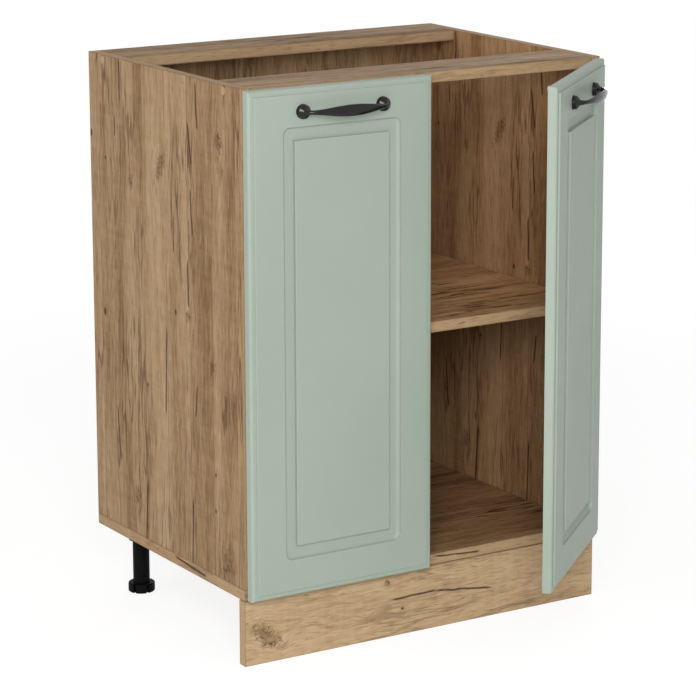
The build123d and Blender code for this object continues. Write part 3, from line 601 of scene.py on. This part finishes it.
sage_film = sage("sage_film")
black_coat = black("black_coat", (16, 18, 15), worn=(80, 82, 78), rough=(0.14, 0.24),
                   peel_scale=700.0, peel=0.06, specular=0.30)
black_plastic = black("black_plastic", (5, 5, 5), worn=(36, 36, 35), rough=(0.50, 0.64),
                      peel_scale=1200.0, peel=0.10, specular=0.07)
nickel = steel("nickel_plate", (196, 194, 190), rough=(0.22, 0.34))
zinc = steel("zinc_plate", (186, 188, 192), rough=(0.30, 0.45))
bumper_rubber = speckled("bumper_rubber", (206, 210, 206), scale=300.0, depth=10, rough=(0.45, 0.60))
cap_plastic = speckled("cap_plastic", (178, 149, 115), scale=260.0, depth=12, rough=(0.40, 0.52))
dowel_beech = speckled("dowel_beech", (205, 170, 125), scale=500.0, depth=24, rough=(0.60, 0.75))

BLACK_PLASTIC_NODES = ("leg_socket", "leg_tube", "leg_foot", "plinth_clip_left", "plinth_clip_right")
for node in NODES:
    if node.endswith("_door"):
        paint(node, sage_film)
    elif node.endswith("_handle"):
        paint(node, black_coat)
    elif node.startswith(BLACK_PLASTIC_NODES):
        paint(node, black_plastic)
    elif node.endswith(("_screws", "_nails")):
        paint(node, zinc)
    elif "_hinge_" in node or node == "shelf_pins":
        paint(node, nickel)
    elif node.endswith("_bumpers"):
        paint(node, bumper_rubber)
paint("screw_caps", cap_plastic)
paint("dowels", dowel_beech)


# Pale floor that keeps the object's shadow and turns plain white further off
FLOOR_HALF = 30.0
FLOOR_TONE = linear(236, 236, 235)
FLOOR_ROUGHNESS = 0.9
FLOOR_WHITE = 0.70
FLOOR_GLOW = 1.2
FLOOR_NEAR = 1.4
FLOOR_FAR = 3.5


def floor_material():
    g = Surface("studio_floor")
    g.set(Base_Color=FLOOR_TONE, Roughness=FLOOR_ROUGHNESS)
    away = g.add("ShaderNodeVectorMath", {0: g.position}, operation="LENGTH").outputs["Value"]
    strength = g.band(away, FLOOR_NEAR, FLOOR_FAR, FLOOR_GLOW, 1.0)
    glow = g.add("ShaderNodeEmission", {"Color": WHITE, "Strength": strength}).outputs[0]
    white_share = g.times(g.seen_rays(), g.band(away, FLOOR_NEAR, FLOOR_FAR, FLOOR_WHITE, 1.0))
    blend = g.add("ShaderNodeMixShader", {0: white_share, 1: g.shader.outputs[0], 2: glow}).outputs[0]
    g.put(g.output.inputs["Surface"], blend)
    return g.material


floor_corners = [(-FLOOR_HALF, -FLOOR_HALF, 0), (FLOOR_HALF, -FLOOR_HALF, 0),
                 (FLOOR_HALF, FLOOR_HALF, 0), (-FLOOR_HALF, FLOOR_HALF, 0)]
floor_mesh = bpy.data.meshes.new("floor")
floor_mesh.from_pydata(floor_corners, [], [(0, 1, 2, 3)])
floor_mesh.materials.append(floor_material())
floor = bpy.data.objects.new("floor", floor_mesh)
SCENE.collection.objects.link(floor)


# Soft studio light: a white world, a large lamp from the front left, and weaker ones from the other sides
WORLD_LIGHT = 0.36
world = bpy.data.worlds.new("studio")
SCENE.world = world
world.use_nodes = True
sky = Graph(world.node_tree)
lit = sky.add("ShaderNodeBackground", {"Color": WHITE, "Strength": WORLD_LIGHT}).outputs[0]
shown = sky.add("ShaderNodeBackground", {"Color": WHITE, "Strength": 1.0}).outputs[0]
chosen = sky.add("ShaderNodeMixShader", {0: sky.seen_rays(), 1: lit, 2: shown}).outputs[0]
sky.add("ShaderNodeOutputWorld", {"Surface": chosen})

LAMP_AIM = Vector((0, 0.1, 0.45))


def lamp(name, place, size, watts):
    """Square area lamp that faces the middle of the cabinet."""
    data = bpy.data.lights.new(name, "AREA")
    data.size = size
    data.energy = watts
    obj = bpy.data.objects.new(name, data)
    SCENE.collection.objects.link(obj)
    obj.visible_camera = False
    obj.location = place
    obj.rotation_euler = (LAMP_AIM - Vector(place)).to_track_quat("-Z", "Y").to_euler()


lamp("key", (-2.1, -3.2, 1.9), size=1.6, watts=109)
lamp("fill", (2.6, -2.6, 1.2), size=2.0, watts=1)
lamp("side", (-4.0, 0.4, 1.3), size=1.4, watts=22)
lamp("rear", (3.4, 4.2, 0.45), size=0.8, watts=52)
